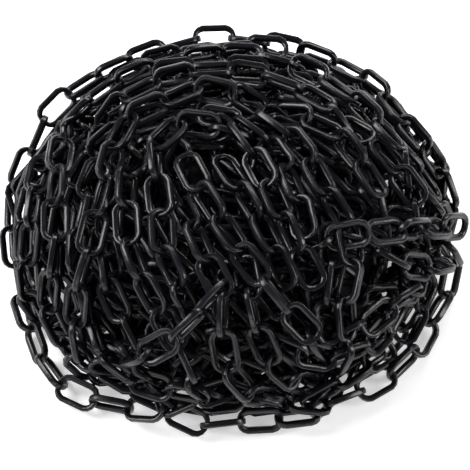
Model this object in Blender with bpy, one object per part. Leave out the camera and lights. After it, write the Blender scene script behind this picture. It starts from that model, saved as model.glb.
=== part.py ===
"""Heap of plastic barrier chain: runs of links laid over a core of chain.

Every visible run of chain is one named solid, fused where its links touch.
The core stands for the chain inside the heap: a plain dome and the inner strands round it, whose
ends dive into the dome. The runs are laid above the bed, a squarish dome, and the strands below it.
Then each run is lowered until it bears on the strands or on another run.
Lengths are metres, +Z is up, the floor is z = 0 and the photographed side is -Y.
"""

import math

import bmesh
import bpy
import numpy as np
from mathutils import Matrix, Vector
from mathutils.bvhtree import BVHTree

# Chain: one oval link and the way two links meet
LINK_LENGTH = 0.0380
LINK_WIDTH = 0.0240
SIDE_BAR = 0.0056
END_BAR = 0.0043
BAR_THICKNESS = 0.0052
JOINT_OVERLAP = 0.0014
LINK_CORNERS = 8
RUN_BAR_SIDES = 4
STRAND_BAR_SIDES = 3
LINK_ROLL = math.radians(38)
LINK_ROLL_WANDER = math.radians(10)
ROLL_DRIFT = math.radians(36)
DRIFT_STEP = 0.55

# Bed that the runs rest on: half sizes and squareness of its profile
BED_HALF = np.array((0.180, 0.170, 0.138))
BED_CENTRE = np.array((0.0, 0.003, 0.0))
BED_SQUARENESS = 2.5

# Core: depth of its dome below the bed, and its facets
CORE_DEPTH = 0.0230
CORE_SIDES = 30
CORE_RINGS = 14

# Inner strands: depth of their middle line, spacing, how they follow the runs and how their ends dive
STRAND_LIFT = -0.0090
STRAND_SPACING = 0.0280
STRAND_CLOSEST = 0.0265
STRAND_STEP = 0.006
STRAND_STEPS = 120
STRAND_SEEDS = 900
STRAND_SHORTEST = 0.060
STRAND_TURN = 0.12
STRAND_WANDER = 0.50
STRAND_WAVE = 0.055
WAVE_MIX = np.array(((1.0, 0.6), (-0.7, 1.0), (0.5, -0.8)))
OWN_STEPS = 12
SEED_ORDER = 5
STRAND_GAP = 0.0001
STRAND_DRIFT = math.radians(8)
BLEND_RADIUS = 0.028
FOOT_HEIGHT = 0.0115
FOOT_POINTS = 200
DIVE_AHEAD = (0.006, 0.011, 0.014)
DIVE_DOWN = (0.003, 0.010, 0.020)

# Height of a run's centre line over the bed, by layer, and over the floor
LAYER_LIFTS = (0.0090, 0.0220)
FLOOR_LIFT = 0.0085

# Line of sight along which the picture routes were read
VIEW_ELEVATION = math.radians(58)
VIEW_DISTANCE = 1.5
VIEW_TARGET = np.array((0.0, 0.004, 0.018))
PICTURE_CENTRE = 235.0
PICTURE_PER_METRE = 1145.0
SIGHT_REACH = 0.3
SIGHT_STEPS = 3001

# Routes: points of a smooth curve, points under its smoothing window, points of a back arc
CURVE_POINTS = 1500
SMOOTH_POINTS = 121
BACK_POINTS = 25

# Settling: the laid links are eased apart until their bars clear each other
BAR_CLEARANCE = 0.0040
SEAT_GAP = 0.0004
FLOOR_GAP = 0.0008
BAR_POINTS = 32
SETTLE_ROUNDS = 440
PRESS_ROUNDS = 240
PRESS = 0.00005
HOLD = 0.010
TURN_HOLD = 0.20
LOOSE_TURN_HOLD = 0.05
TOUCH_WEIGHT = 8.0
JOINT_WEIGHT = 40.0
PAIRING_ROUNDS = 4

# Lowering: each run goes inward by small steps until it bears on another solid
LOWER_STEP = 0.0002
LOWER_STEPS = 60
LOWER_SWEEPS = 2

BLACK_PLASTIC = (0.018, 0.018, 0.021, 1.0)
CORE_BLACK = (0.010, 0.010, 0.012, 1.0)

# Runs of chain that the picture shows: layer, then picture coordinates along the run
PICTURE_RUNS = {
    "outline_run": (0, [
        (15, 182), (26, 155), (37, 125), (52, 97), (80, 82), (105, 64), (135, 54), (163, 43), (184, 36),
        (215, 32), (250, 37), (282, 43), (315, 54), (350, 73), (378, 94), (400, 125), (425, 152),
        (443, 178), (451, 208)]),
    "rear_run_outer": (0, [
        (62, 125), (85, 102), (112, 82), (142, 68), (175, 58), (210, 53), (245, 52), (280, 58), (312, 72),
        (340, 90), (362, 112), (388, 140), (405, 165)]),
    "rear_run_inner": (0, [
        (125, 102), (150, 88), (180, 78), (212, 73), (245, 73), (275, 80), (302, 90), (322, 102)]),
    "left_edge_run": (0, [
        (10, 195), (8, 228), (12, 258), (14, 290), (26, 328), (38, 362), (62, 393), (97, 404), (132, 408),
        (165, 408)]),
    "left_run_outer": (0, [(45, 158), (36, 195), (32, 230), (30, 262), (33, 296)]),
    "left_run": (0, [
        (66, 140), (60, 172), (57, 205), (57, 240), (52, 272), (48, 306), (58, 332), (74, 354), (96, 368)]),
    "crown_arch": (0, [
        (238, 98), (220, 91), (197, 88), (172, 103), (143, 106), (120, 133), (112, 168), (101, 205),
        (93, 240), (83, 272), (74, 305), (80, 340)]),
    "inner_arch": (0, [
        (220, 128), (190, 122), (165, 128), (155, 150), (158, 178), (163, 205), (160, 235), (166, 262),
        (182, 290)]),
    "centre_run_left": (0, [
        (182, 158), (197, 187), (217, 217), (235, 245), (257, 270), (277, 297), (298, 318), (312, 332)]),
    "centre_run_middle": (0, [
        (232, 126), (246, 144), (259, 164), (271, 190), (282, 218), (294, 247), (310, 278)]),
    "centre_run_right": (0, [
        (258, 112), (280, 124), (297, 145), (314, 168), (326, 195), (341, 217), (352, 243), (350, 272),
        (342, 300), (345, 330)]),
    "right_run_inner": (0, [(302, 120), (332, 130), (352, 152), (366, 178), (380, 198)]),
    "right_run_outer": (0, [(374, 140), (393, 165), (408, 190), (427, 212)]),
    "right_floor_run": (0, [
        (446, 246), (459, 270), (448, 300), (431, 328), (415, 358), (388, 380), (355, 396), (322, 408)]),
    "front_floor_run": (0, [
        (170, 414), (196, 428), (222, 440), (246, 426), (270, 424), (296, 434), (322, 420)]),
    "middle_left_run": (0, [
        (130, 168), (128, 200), (128, 232), (136, 262), (150, 292), (166, 320), (179, 347), (192, 376)]),
    "front_run_middle": (0, [
        (194, 222), (204, 248), (218, 274), (230, 300), (226, 327), (222, 352), (238, 378), (264, 400)]),
    "low_centre_run": (0, [(252, 292), (258, 322), (266, 352), (286, 378), (312, 390)]),
    "front_run_low": (0, [(205, 400), (172, 394), (140, 388), (112, 366)]),
    "front_run_right": (0, [(300, 356), (322, 362), (350, 360), (380, 343)]),
    "lower_left_run": (0, [(100, 285), (112, 312), (126, 340)]),
    "lower_crossing_run": (1, [(202, 316), (184, 338), (160, 350), (132, 366)]),
    "right_loose_run": (0, [(366, 326), (388, 307), (410, 290), (428, 284)]),
    "right_crossing_run": (0, [(374, 246), (396, 262), (420, 268), (440, 264)]),
    "right_spur": (1, [(374, 236), (408, 231), (460, 227)]),
}

# Runs round the hidden back: height of the run, then the azimuths where it starts and ends
BACK_RUNS = {
    "back_run_low": (0.012, 10, 168),
    "back_run_high": (0.050, 18, 160),
}


def joint_half() -> float:
    """Distance from a link's centre to the point where the next link bears."""
    return LINK_LENGTH / 2 - END_BAR + JOINT_OVERLAP / 2


def bed_level(points: np.ndarray, half: np.ndarray) -> np.ndarray:
    """Level of each point against a squarish dome about the bed's centre: 1 on its surface, less inside."""
    scaled = np.abs(points - BED_CENTRE) / half
    plan = np.hypot(scaled[..., 0], scaled[..., 1])
    return (plan ** BED_SQUARENESS + scaled[..., 2] ** BED_SQUARENESS) ** (1 / BED_SQUARENESS)


def bed_normal(points: np.ndarray, half: np.ndarray) -> np.ndarray:
    """Gradient of the dome's level, by small steps along each axis."""
    step = 1e-5
    parts = [bed_level(points + axis, half) - bed_level(points - axis, half) for axis in np.eye(3) * step]
    return np.stack(parts, axis=-1) / (2 * step)


def onto_bed(points: np.ndarray, lift: float) -> np.ndarray:
    """Move points onto the lifted bed by three Newton steps."""
    half = BED_HALF + lift
    for _ in range(3):
        slope = bed_normal(points, half)
        steep = (slope ** 2).sum(axis=-1, keepdims=True)
        points = points - slope * (bed_level(points, half)[..., None] - 1) / steep
    return points


def level_arc(height: float, lift: float, turns: np.ndarray) -> np.ndarray:
    """Points of a level arc round the lifted bed, one for each angle."""
    half = BED_HALF + lift
    plan = (1 - (height / half[2]) ** BED_SQUARENESS) ** (1 / BED_SQUARENESS)
    across = half[0] * plan * np.cos(turns)
    back = BED_CENTRE[1] + half[1] * plan * np.sin(turns)
    return np.stack((across, back, np.full(len(turns), height)), axis=1)


def seen_point(across: float, down: float, lift: float) -> np.ndarray:
    """Point on the lifted bed, or beside it, that a place in the picture shows.

    A line of sight that misses the bed gives its nearest approach, or the floor in front of it.
    """
    forward = np.array((0.0, math.cos(VIEW_ELEVATION), -math.sin(VIEW_ELEVATION)))
    upward = np.array((0.0, math.sin(VIEW_ELEVATION), math.cos(VIEW_ELEVATION)))
    scale = PICTURE_PER_METRE * VIEW_DISTANCE
    sight = forward + upward * (PICTURE_CENTRE - down) / scale
    sight[0] += (across - PICTURE_CENTRE) / scale
    eye = VIEW_TARGET - forward * VIEW_DISTANCE
    reach = np.linspace(VIEW_DISTANCE - SIGHT_REACH, VIEW_DISTANCE + SIGHT_REACH, SIGHT_STEPS)
    points = eye + reach[:, None] * sight
    level = bed_level(points, BED_HALF + lift)
    above = points[:, 2] > FLOOR_LIFT
    inside = np.flatnonzero((level < 1) & above)
    if inside.size:
        return points[inside[0]]
    nearest = int(np.argmin(np.where(above, level, np.inf)))
    return points[nearest]


def chain_joints(route: list) -> np.ndarray:
    """Joint points one taut link apart along a route, read from its smooth curve."""
    route = np.array(route)
    pitch = 2 * joint_half()
    ahead = route[-1] - route[-2]
    route[-1] += ahead * pitch / 2 / np.linalg.norm(ahead)
    spacing = np.linalg.norm(np.diff(route, axis=0), axis=1)
    along = np.concatenate(([0.0], np.cumsum(spacing)))
    fine = np.linspace(0, along[-1], CURVE_POINTS)
    curve = np.stack([np.interp(fine, along, route[:, axis]) for axis in range(3)], axis=1)
    window = np.hanning(SMOOTH_POINTS)
    margin = SMOOTH_POINTS // 2
    padded = np.pad(curve, ((margin, margin), (0, 0)), mode="edge")
    window /= window.sum()
    curve = np.stack([np.convolve(padded[:, axis], window, "valid") for axis in range(3)], axis=1)
    joints = [curve[0]]
    for point in curve:
        if np.linalg.norm(point - joints[-1]) >= pitch:
            step = point - joints[-1]
            joints.append(joints[-1] + step * pitch / np.linalg.norm(step))
    return np.array(joints)


class Heap:
    """All laid links: centres, axes and the run or strand that each belongs to."""

    def __init__(self) -> None:
        """Start with no links."""
        self.centres = []
        self.axes = []
        self.runs = []

    def lay(self, run: int, joints: np.ndarray, drift: float) -> None:
        """Lay one link between each two joints, rolled to alternate sides about a roll that drifts."""
        rng = np.random.default_rng(run)
        phase = rng.uniform(0, 2 * math.pi)
        for number in range(len(joints) - 1):
            along = joints[number + 1] - joints[number]
            along = along / np.linalg.norm(along)
            centre = (joints[number] + joints[number + 1]) / 2
            out = bed_normal(centre, BED_HALF)
            out = out - along * (out @ along)
            out = out / np.linalg.norm(out)
            aside = np.cross(out, along)
            roll = LINK_ROLL * (1 if number % 2 else -1) + LINK_ROLL_WANDER * rng.uniform(-1, 1)
            roll += drift * math.sin(phase + number * DRIFT_STEP)
            wide = aside * math.cos(roll) + out * math.sin(roll)
            self.centres.append(centre)
            self.axes.append(np.stack((along, wide, np.cross(along, wide)), axis=1))
            self.runs.append(run)


def link_shape() -> tuple:
    """Radius and stretch of the octagon that a link's bar follows, measured at the bar's middle."""
    half_width = (LINK_WIDTH - SIDE_BAR) / 2
    radius = half_width / math.cos(math.pi / LINK_CORNERS)
    return radius, (LINK_LENGTH - END_BAR) / 2 - half_width


def link_path() -> np.ndarray:
    """Corners of the middle line of one link's bar: a stretched octagon in the link's plane."""
    radius, stretch = link_shape()
    turn = (np.arange(LINK_CORNERS) + 0.5) * 2 * math.pi / LINK_CORNERS
    return np.stack((radius * np.cos(turn) + stretch * np.sign(np.cos(turn)), radius * np.sin(turn)), axis=1)


def bar_samples() -> tuple:
    """Points evenly along the middle of one link's bar, and the outward direction at each."""
    corners = link_path()
    path = np.vstack((corners, corners[:1]))
    edges = np.diff(path, axis=0)
    lengths = np.linalg.norm(edges, axis=1)
    along = np.concatenate(([0.0], np.cumsum(lengths)))
    places = (np.arange(BAR_POINTS) + 0.5) * along[-1] / BAR_POINTS
    edge = np.searchsorted(along, places) - 1
    points = path[edge] + edges[edge] * ((places - along[edge]) / lengths[edge])[:, None]
    out = np.stack((edges[edge, 1], -edges[edge, 0]), axis=1) / lengths[edge][:, None]
    level = np.zeros(BAR_POINTS)
    return np.column_stack((points, level)), np.column_stack((out, level))


class Settling:
    """Rigid links that are eased apart in rounds until their bars clear all that is near."""

    def __init__(self, heap: "Heap", side: int) -> None:
        """Keep where each link was laid, which links are joined, and on which side of the bed they lie."""
        centres, axes, runs = np.array(heap.centres), np.array(heap.axes), np.array(heap.runs)
        self.side = side
        self.runs = runs
        ring, self.ring_out = bar_samples()
        ends = np.array(((-joint_half(), 0, 0), (joint_half(), 0, 0)))
        self.body = np.vstack((ring, ends))
        self.centres = centres
        self.axes = axes
        self.aims = centres.copy()
        self.aim_axes = axes.copy()
        order = np.arange(len(centres))
        beside = np.abs(np.subtract.outer(order, order)) == 1
        self.unjoined = ~(beside & (runs[:, None] == runs[None, :]))
        self.follows = np.flatnonzero(runs[1:] == runs[:-1])
        self.pairs = ()

    def find_pairs(self) -> None:
        """List the pairs of unjoined links that are close enough to touch."""
        gap = np.linalg.norm(self.centres[:, None] - self.centres[None], axis=2)
        near = (gap < LINK_LENGTH + 2 * BAR_CLEARANCE) & self.unjoined
        self.pairs = np.nonzero(np.triu(near, 1))

    def part_bars(self, bars: np.ndarray, moves: np.ndarray, touches: np.ndarray) -> None:
        """Push points of two bars that are too near apart, half the shortfall each."""
        first, second = self.pairs
        apart = bars[first][:, :, None, :] - bars[second][:, None, :, :]
        distance = np.linalg.norm(apart, axis=3)
        pair, one, two = np.nonzero(distance < 2 * BAR_CLEARANCE)
        found = distance[pair, one, two]
        push = apart[pair, one, two] * ((2 * BAR_CLEARANCE - found) / (2 * found + 1e-9))[:, None]
        np.add.at(moves, (first[pair], one), push)
        np.add.at(moves, (second[pair], two), -push)
        np.add.at(touches, (first[pair], one), 1)
        np.add.at(touches, (second[pair], two), 1)

    def lift_bars(self, bars: np.ndarray, moves: np.ndarray, touches: np.ndarray) -> None:
        """Push points to their side of the bed and off the floor by what the bar's section needs there."""
        wide = np.einsum("nij,kj->nki", self.axes, self.ring_out)
        slope = bed_normal(bars, BED_HALF)
        steep = np.linalg.norm(slope, axis=2)
        slope /= steep[..., None]
        reach_in = (np.abs((slope * wide).sum(axis=2)) * SIDE_BAR
                    + np.abs(np.einsum("nki,ni->nk", slope, self.axes[:, :, 2])) * BAR_THICKNESS) / 2
        gap = SEAT_GAP if self.side > 0 else STRAND_GAP
        short = reach_in + gap - self.side * (bed_level(bars, BED_HALF) - 1) / steep
        buried = short > 0
        moves[:, :BAR_POINTS][buried] += self.side * (slope * short[..., None])[buried]
        touches[:, :BAR_POINTS][buried] += 1
        reach_down = (np.abs(wide[..., 2]) * SIDE_BAR + np.abs(self.axes[:, None, 2, 2]) * BAR_THICKNESS) / 2
        low = reach_down + FLOOR_GAP - bars[..., 2]
        moves[:, :BAR_POINTS, 2][low > 0] += low[low > 0]
        touches[:, :BAR_POINTS][low > 0] += 1

    def place_links(self, wanted: np.ndarray, weights: np.ndarray) -> None:
        """Put each link where the rigid shape fits its moved points best."""
        total = weights.sum(axis=1)
        body_middle = np.einsum("nk,kj->nj", weights, self.body) / total[:, None]
        middle = np.einsum("nk,nkj->nj", weights, wanted) / total[:, None]
        spread = np.einsum("nk,nki,nkj->nij", weights, wanted - middle[:, None],
                           self.body[None] - body_middle[:, None])
        left, _, right = np.linalg.svd(spread)
        left[:, :, 2] *= np.sign(np.linalg.det(left @ right))[:, None]
        self.axes = left @ right
        self.centres = middle - np.einsum("nij,nj->ni", self.axes, body_middle)

    def pull_home(self) -> np.ndarray:
        """Pull on each centre towards where it was laid and towards the bed."""
        outward = bed_normal(self.centres, BED_HALF)
        outward /= np.linalg.norm(outward, axis=1)[:, None]
        return (self.aims - self.centres) * HOLD - self.side * PRESS * outward

    def ease(self, pressed: bool) -> None:
        """Run one round: parted bars, drawn joints and, while pressed, the pull home."""
        places = self.centres[:, None, :] + np.einsum("nij,kj->nki", self.axes, self.body)
        moves = np.zeros_like(places)
        touches = np.zeros(places.shape[:2])
        bars = places[:, :BAR_POINTS]
        self.part_bars(bars, moves, touches)
        self.lift_bars(bars, moves, touches)
        moves /= np.maximum(touches, 1)[..., None]
        weights = np.where(touches > 0, TOUCH_WEIGHT, 1.0)
        weights[:, BAR_POINTS:] = JOINT_WEIGHT
        drawn = (places[self.follows + 1, -2] - places[self.follows, -1]) / 2
        moves[self.follows, -1] += drawn
        moves[self.follows + 1, -2] -= drawn
        if pressed:
            moves += self.pull_home()[:, None, :]
        turn_hold = TURN_HOLD if pressed else LOOSE_TURN_HOLD
        moves += np.einsum("nij,kj->nki", self.aim_axes - self.axes, self.body) * turn_hold
        self.place_links(places + moves, weights)

    def settle(self) -> None:
        """Run all rounds, the first of them pressed."""
        for number in range(SETTLE_ROUNDS):
            if number % PAIRING_ROUNDS == 0:
                self.find_pairs()
            self.ease(number < PRESS_ROUNDS)

    def placement(self, index: int) -> Matrix:
        """Matrix that moves a link from the origin to its settled place."""
        place = np.eye(4)
        place[:3, :3] = self.axes[index]
        place[:3, 3] = self.centres[index]
        return Matrix(place.tolist())


class InnerStrands:
    """Evenly spaced strands below the bed, which follow the runs above them with a slow wander."""

    def __init__(self, centres: np.ndarray, axes: np.ndarray) -> None:
        """Keep the settled runs and start with a level strand round the foot."""
        self.centres = centres
        self.along = axes[:, :, 0]
        foot = level_arc(FOOT_HEIGHT, STRAND_LIFT, np.linspace(0, 2 * math.pi, FOOT_POINTS))
        self.routes = [foot]
        self.taken = foot

    def direction(self, point: np.ndarray) -> np.ndarray:
        """Main axis of the nearby runs, laid flat on the bed and turned by a slow wave."""
        away = ((self.centres - point) ** 2).sum(axis=1)
        near = np.exp(-away / (2 * BLEND_RADIUS ** 2)) + 1e-12
        _, vectors = np.linalg.eigh(np.einsum("n,ni,nj->ij", near, self.along, self.along))
        out = bed_normal(point, BED_HALF)
        out /= np.linalg.norm(out)
        flat = vectors[:, 2] - out * (vectors[:, 2] @ out)
        flat /= np.linalg.norm(flat)
        wave = np.sin(point @ WAVE_MIX / STRAND_WAVE).sum()
        angle = STRAND_TURN + STRAND_WANDER * wave / 2
        return flat * math.cos(angle) + np.cross(out, flat) * math.sin(angle)

    def crowded(self, place: np.ndarray, own: list, gap: float) -> bool:
        """Tell whether a place is nearer than the gap to a strand, or to an older stretch of its own."""
        older = own[:-OWN_STEPS]
        others = np.vstack((self.taken, older)) if older else self.taken
        return bool(((others - place) ** 2).sum(axis=1).min() < gap ** 2)

    def trace(self, seed: np.ndarray) -> list:
        """Follow the direction both ways from a seed until the strand meets the foot or another strand."""
        sides = []
        for sense in (1, -1):
            points = []
            place = seed
            heading = self.direction(seed) * sense
            for _ in range(STRAND_STEPS):
                place = onto_bed(place + heading * STRAND_STEP, STRAND_LIFT)
                if place[2] < FOOT_HEIGHT or self.crowded(place, points, STRAND_CLOSEST):
                    break
                turned = self.direction(place)
                heading = turned if turned @ heading > 0 else -turned
                points.append(place)
            sides.append(points)
        return sides[1][::-1] + [seed] + sides[0]

    def dived(self, route: np.ndarray) -> np.ndarray:
        """Give a strand two ends that dive into the dome."""
        ends = []
        for last, before in ((route[0], route[2]), (route[-1], route[-3])):
            ahead = (last - before) / np.linalg.norm(last - before)
            down = -bed_normal(last, BED_HALF)
            down /= np.linalg.norm(down)
            dive = last + np.outer(DIVE_AHEAD, ahead) + np.outer(DIVE_DOWN, down)
            dive[:, 2] = np.maximum(dive[:, 2], FOOT_HEIGHT)
            ends.append(dive)
        return np.vstack((ends[0][::-1], route, ends[1]))

    def fill(self) -> None:
        """Trace strands from seeds that are spread over the bed by the golden angle."""
        order = np.arange(STRAND_SEEDS) + 0.5
        turn = order * math.pi * (3 - math.sqrt(5))
        height = order / STRAND_SEEDS
        plan = np.sqrt(1 - height ** 2)
        seeds = np.stack((plan * np.cos(turn), plan * np.sin(turn), height), axis=1) * BED_HALF + BED_CENTRE
        for number in np.random.default_rng(SEED_ORDER).permutation(STRAND_SEEDS):
            seed = onto_bed(seeds[number], STRAND_LIFT)
            if seed[2] < FOOT_HEIGHT or self.crowded(seed, [], STRAND_SPACING):
                continue
            points = self.trace(seed)
            if len(points) * STRAND_STEP > STRAND_SHORTEST:
                self.routes.append(np.array(points))
                self.taken = np.vstack((self.taken, points))
        self.routes = [self.dived(route) for route in self.routes]


def plastic(name: str, colour: tuple, roughness: float) -> bpy.types.Material:
    """Moulded plastic of one colour."""
    material = bpy.data.materials.new(name)
    material.use_nodes = True
    shader = material.node_tree.nodes["Principled BSDF"]
    shader.inputs["Base Color"].default_value = colour
    shader.inputs["Roughness"].default_value = roughness
    material.diffuse_color = colour
    return material


def bar_corner(across: float, upward: float, sides: int) -> tuple:
    """Corner of a bar's section in half sizes, from a circle's: a square, or a wedge for three sides."""
    if sides == 4:
        return across - upward, across + upward
    return (4 * across - 1) / 3, upward / math.sin(math.radians(120))


def link_mesh(sides: int) -> bpy.types.Mesh:
    """One link: a torus with eight corners and three or four sides, stretched to the link's length."""
    radius, stretch = link_shape()
    bpy.ops.mesh.primitive_torus_add(major_segments=LINK_CORNERS, minor_segments=sides, major_radius=radius,
                                     minor_radius=BAR_THICKNESS)
    torus = bpy.context.object
    mesh = torus.data
    mesh.transform(Matrix.Rotation(math.pi / LINK_CORNERS, 4, "Z"))
    mitre = 1 / math.cos(math.pi / LINK_CORNERS)
    for vertex in mesh.vertices:
        x, y, z = vertex.co
        turn = math.atan2(y, x)
        outward, upward = bar_corner((math.hypot(x, y) - radius) / BAR_THICKNESS, z / BAR_THICKNESS, sides)
        vertex.co.x = math.cos(turn) * (radius + outward * mitre * END_BAR / 2) + math.copysign(stretch, x)
        vertex.co.y = math.sin(turn) * (radius + outward * mitre * SIDE_BAR / 2)
        vertex.co.z = upward * BAR_THICKNESS / 2
    bpy.data.objects.remove(torus)
    return mesh


def mesh_of_links(name: str, link: bpy.types.Mesh, places: list) -> bpy.types.Object:
    """One object that holds a copy of the link at each place."""
    shape = bmesh.new()
    for place in places:
        before = len(shape.verts)
        shape.from_mesh(link)
        shape.verts.ensure_lookup_table()
        bmesh.ops.transform(shape, matrix=place, verts=shape.verts[before:])
    mesh = bpy.data.meshes.new(name)
    shape.to_mesh(mesh)
    shape.free()
    return bpy.data.objects.new(name, mesh)


def fill_pockets(mesh: bpy.types.Mesh) -> None:
    """Delete the tiny closed shells that a union can leave inside a joint, and keep the outer one."""
    shape = bmesh.new()
    shape.from_mesh(mesh)
    shells = []
    unseen = set(shape.verts)
    while unseen:
        shell = {unseen.pop()}
        edge_of_search = set(shell)
        while edge_of_search:
            found = {edge.other_vert(vert) for vert in edge_of_search for edge in vert.link_edges}
            edge_of_search = found - shell
            shell |= edge_of_search
        unseen -= shell
        shells.append(shell)
    shells.sort(key=len)
    pockets = [vert for shell in shells[:-1] for vert in shell]
    bmesh.ops.delete(shape, geom=pockets, context="VERTS")
    shape.to_mesh(mesh)
    shape.free()


def unite(body: bpy.types.Object, others: list, heap: bpy.types.Collection,
          finish: bpy.types.Material) -> None:
    """Fuse other objects, which it touches, into a body and drop them."""
    heap.objects.link(body)
    for other in others:
        heap.objects.link(other)
        joined = body.modifiers.new("joined_links", "BOOLEAN")
        joined.operation = "UNION"
        joined.solver = "EXACT"
        joined.use_self = True
        joined.object = other
    graph = bpy.context.evaluated_depsgraph_get()
    united = bpy.data.meshes.new_from_object(body.evaluated_get(graph))
    fill_pockets(united)
    united.materials.clear()
    united.materials.append(finish)
    united.name = body.name
    body.modifiers.clear()
    body.data = united
    for other in others:
        bpy.data.objects.remove(other)


def add_run(name: str, link: bpy.types.Mesh, places: list, heap: bpy.types.Collection,
            finish: bpy.types.Material) -> bpy.types.Object:
    """One run of chain: its odd links are united with its even ones, which they touch."""
    run = mesh_of_links(name, link, places[0::2])
    unite(run, [mesh_of_links(name + "_odd_links", link, places[1::2])], heap, finish)
    return run


def core_dome() -> bpy.types.Object:
    """Squarish dome with a flat base, from the upper half of a sphere."""
    half = BED_HALF - CORE_DEPTH
    mesh = bpy.data.meshes.new("core")
    shape = bmesh.new()
    bmesh.ops.create_uvsphere(shape, u_segments=CORE_SIDES, v_segments=CORE_RINGS, radius=1)
    everything = list(shape.verts) + list(shape.edges) + list(shape.faces)
    cut = bmesh.ops.bisect_plane(shape, geom=everything, plane_co=(0, 0, 1e-5), plane_no=(0, 0, 1),
                                 clear_inner=True)
    rim = [item for item in cut["geom_cut"] if isinstance(item, bmesh.types.BMEdge)]
    bmesh.ops.contextual_create(shape, geom=rim)
    for vertex in shape.verts:
        plan = max(math.hypot(vertex.co.x, vertex.co.y), 1e-9)
        rise = max(vertex.co.z, 0)
        squared = plan ** (2 / BED_SQUARENESS)
        vertex.co.x = BED_CENTRE[0] + half[0] * squared * vertex.co.x / plan
        vertex.co.y = BED_CENTRE[1] + half[1] * squared * vertex.co.y / plan
        vertex.co.z = half[2] * rise ** (2 / BED_SQUARENESS) if rise > 1e-4 else 0
    bmesh.ops.recalc_face_normals(shape, faces=shape.faces)
    shape.to_mesh(mesh)
    shape.free()
    return bpy.data.objects.new("core", mesh)


def add_core(link: bpy.types.Mesh, strands: Settling, heap: bpy.types.Collection,
             finish: bpy.types.Material) -> bpy.types.Object:
    """Core: the dome united with the even and then the odd links of the inner strands."""
    core = core_dome()
    first = np.searchsorted(strands.runs, strands.runs)
    odd = (np.arange(len(strands.runs)) - first) % 2 == 1
    sets = []
    for chosen, name in ((~odd, "even_strand_links"), (odd, "odd_strand_links")):
        places = [strands.placement(index) for index in np.flatnonzero(chosen)]
        sets.append(mesh_of_links(name, link, places))
    unite(core, sets, heap, finish)
    return core


def surface_tree(part: bpy.types.Object, move: Vector) -> BVHTree:
    """Search tree of a solid's triangles after a move."""
    part.data.calc_loop_triangles()
    points = [vertex.co + move for vertex in part.data.vertices]
    return BVHTree.FromPolygons(points, [triangle.vertices[:] for triangle in part.data.loop_triangles])


def lower_run(run: bpy.types.Object, others: list, inward: Vector) -> None:
    """Move a run inward by small steps until it meets another solid, then back by the seat gap."""
    for count in range(LOWER_STEPS):
        moved = surface_tree(run, inward * LOWER_STEP * count)
        if any(moved.overlap(other) for other in others):
            run.data.transform(Matrix.Translation(inward * (LOWER_STEP * count - SEAT_GAP)))
            return


def lower_runs(core: bpy.types.Object, parts: list, runs: Settling) -> None:
    """Seat the runs one after another, each along the mean inward normal of its links."""
    still = Vector((0, 0, 0))
    trees = [surface_tree(part, still) for part in parts]
    trees.append(surface_tree(core, still))
    for _ in range(LOWER_SWEEPS):
        for number, part in enumerate(parts):
            outward = bed_normal(runs.centres[runs.runs == number], BED_HALF).mean(axis=0)
            if min(vertex.co.z for vertex in part.data.vertices) < FLOOR_LIFT:
                outward[2] = 0
            inward = Vector(-outward / np.linalg.norm(outward))
            lower_run(part, trees[:number] + trees[number + 1:], inward)
            trees[number] = surface_tree(part, still)


def centre_on_origin(parts: list) -> None:
    """Move all solids together so that their common box stands centred over the origin."""
    points = np.array([vertex.co[:2] for part in parts for vertex in part.data.vertices])
    middle = (points.min(axis=0) + points.max(axis=0)) / 2
    for part in parts:
        part.data.transform(Matrix.Translation((-middle[0], -middle[1], 0)))


def run_routes() -> dict:
    """Route of every run in metres, the picture's runs first."""
    routes = {}
    for name, (layer, places) in PICTURE_RUNS.items():
        routes[name] = [seen_point(across, down, LAYER_LIFTS[layer]) for across, down in places]
    for name, (height, start, end) in BACK_RUNS.items():
        routes[name] = level_arc(height, LAYER_LIFTS[0], np.radians(np.linspace(start, end, BACK_POINTS)))
    return routes


def settled(routes: list, side: int) -> Settling:
    """Lay links along all routes and settle them, above the bed for side 1 and below it for side -1."""
    heap = Heap()
    for number, route in enumerate(routes):
        heap.lay(number, chain_joints(route), ROLL_DRIFT if side > 0 else STRAND_DRIFT)
    settling = Settling(heap, side)
    settling.settle()
    return settling


def main() -> None:
    """Build the heap in an empty scene."""
    for item in list(bpy.data.objects):
        bpy.data.objects.remove(item, do_unlink=True)
    heap_parts = bpy.data.collections.new("plastic_chain_heap")
    bpy.context.scene.collection.children.link(heap_parts)
    chain_finish = plastic("black_plastic", BLACK_PLASTIC, 0.38)
    core_finish = plastic("core_plastic", CORE_BLACK, 0.6)
    routes = run_routes()
    runs = settled(list(routes.values()), 1)
    inner = InnerStrands(runs.centres, runs.axes)
    inner.fill()
    link = link_mesh(RUN_BAR_SIDES)
    strand_link = link_mesh(STRAND_BAR_SIDES)
    core = add_core(strand_link, settled(inner.routes, -1), heap_parts, core_finish)
    parts = []
    for number, name in enumerate(routes):
        places = [runs.placement(index) for index in np.flatnonzero(runs.runs == number)]
        parts.append(add_run(name, link, places, heap_parts, chain_finish))
    lower_runs(core, parts, runs)
    centre_on_origin([core] + parts)
    bpy.data.meshes.remove(link)
    bpy.data.meshes.remove(strand_link)


main()
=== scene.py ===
"""Heap of plastic barrier chain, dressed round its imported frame.

The long black chain lies in arcs and loops over itself. The traced runs and the inner strands stand
where the frame's solids have them, and further strands fill the heap below, down to a hidden heart.
Lengths are metres, +Z is up, the floor is z = 0 and the photographed side is -Y.
"""

import logging
import math
from dataclasses import dataclass, field
from enum import Enum

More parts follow.
